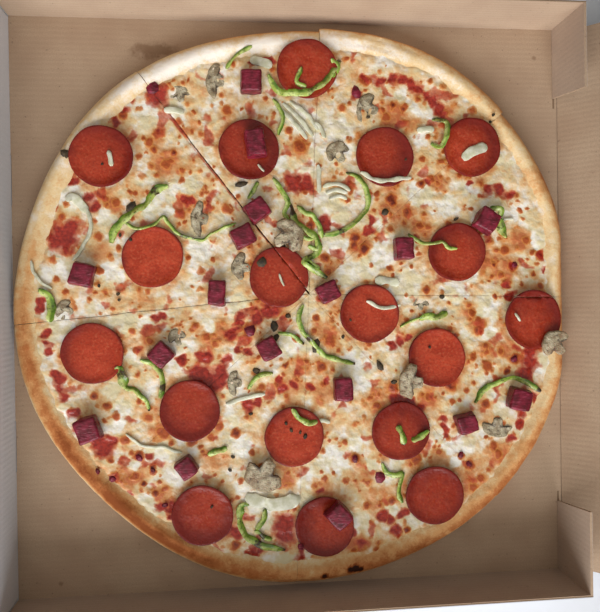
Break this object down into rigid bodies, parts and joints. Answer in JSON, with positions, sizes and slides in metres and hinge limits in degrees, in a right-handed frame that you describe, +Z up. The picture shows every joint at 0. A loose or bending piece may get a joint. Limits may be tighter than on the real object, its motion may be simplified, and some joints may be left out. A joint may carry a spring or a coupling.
{
  "type": "pizza in its box",
  "caption": "Round pizza cut in slices, with sausage, cured meat, mushroom and pepper toppings, lying in its open square corrugated box with a hinged lid.",
  "frame": {"origin": "middle of the tray's underside, where it rests on the table", "axes": "+X from the box's front edge towards the lid's hinge, +Y along the hinge, +Z up"},
  "size_m": [0.7327, 0.3582, 0.0662],
  "materials": {
    "kraft_board": "matte",
    "crust": "matte",
    "cheese": "satin",
    "pepperoni": "satin",
    "cured_meat": "satin",
    "mushroom": "matte"
  },
  "bodies": {
    "tray": {"tray": "kraft_board", "crust_slice_1": "crust", "crust_slice_2": "crust", "crust_slice_3": "crust", "crust_slice_4": "crust", "crust_slice_5": "crust", "crust_slice_6": "crust", "crust_slice_7": "crust", "crust_slice_8": "crust", "cheese_slice_1": "cheese", "cheese_slice_2": "cheese", "cheese_slice_3": "cheese", "cheese_slice_4": "cheese", "cheese_slice_5": "cheese", "cheese_slice_6": "cheese", "cheese_slice_7": "cheese", "cheese_slice_8": "cheese", "pepperoni_01": "pepperoni", "pepperoni_02": "pepperoni", "pepperoni_03": "pepperoni", "pepperoni_04": "pepperoni", "pepperoni_05": "pepperoni", "pepperoni_06": "pepperoni", "pepperoni_07": "pepperoni", "pepperoni_08": "pepperoni", "pepperoni_09": "pepperoni", "pepperoni_10": "pepperoni", "pepperoni_11": "pepperoni", "pepperoni_12": "pepperoni", "pepperoni_13": "pepperoni", "pepperoni_14": "pepperoni", "pepperoni_15": "pepperoni", "pepperoni_16": "pepperoni", "pepperoni_17_a": "pepperoni", "pepperoni_17_b": "pepperoni", "pepperoni_18_a": "pepperoni", "pepperoni_18_b": "pepperoni", "meat_cube_01": "cured_meat", "meat_cube_02": "cured_meat", "meat_cube_03": "cured_meat", "meat_cube_04": "cured_meat", "meat_cube_05": "cured_meat", "meat_cube_06": "cured_meat", "meat_cube_07": "cured_meat", "meat_cube_08": "cured_meat", "meat_cube_09": "cured_meat", "meat_cube_10": "cured_meat", "meat_cube_11": "cured_meat", "meat_cube_12": "cured_meat", "meat_cube_13": "cured_meat", "meat_cube_14": "cured_meat", "meat_cube_15": "cured_meat", "meat_cube_16": "cured_meat", "meat_cube_17": "cured_meat", "mushroom_1": "mushroom", "mushroom_2": "mushroom", "mushroom_3": "mushroom", "mushroom_4": "mushroom"},
    "back_wall": {"back_wall": "kraft_board"},
    "lid": {"lid": "kraft_board"}
  },
  "joints": [
    {"name": "back_wall_hinge", "type": "hinge", "parent": "tray", "child": "back_wall", "pos_m": [0.1783, 0, 0.0008], "axis": [0, -1, 0], "range_deg": [0, 42]},
    {"name": "lid_hinge", "type": "hinge", "parent": "back_wall", "child": "lid", "pos_m": [0.20734, 0, 0.03305], "axis": [0, -1, 0], "range_deg": [0, 143.3]}
  ]
}
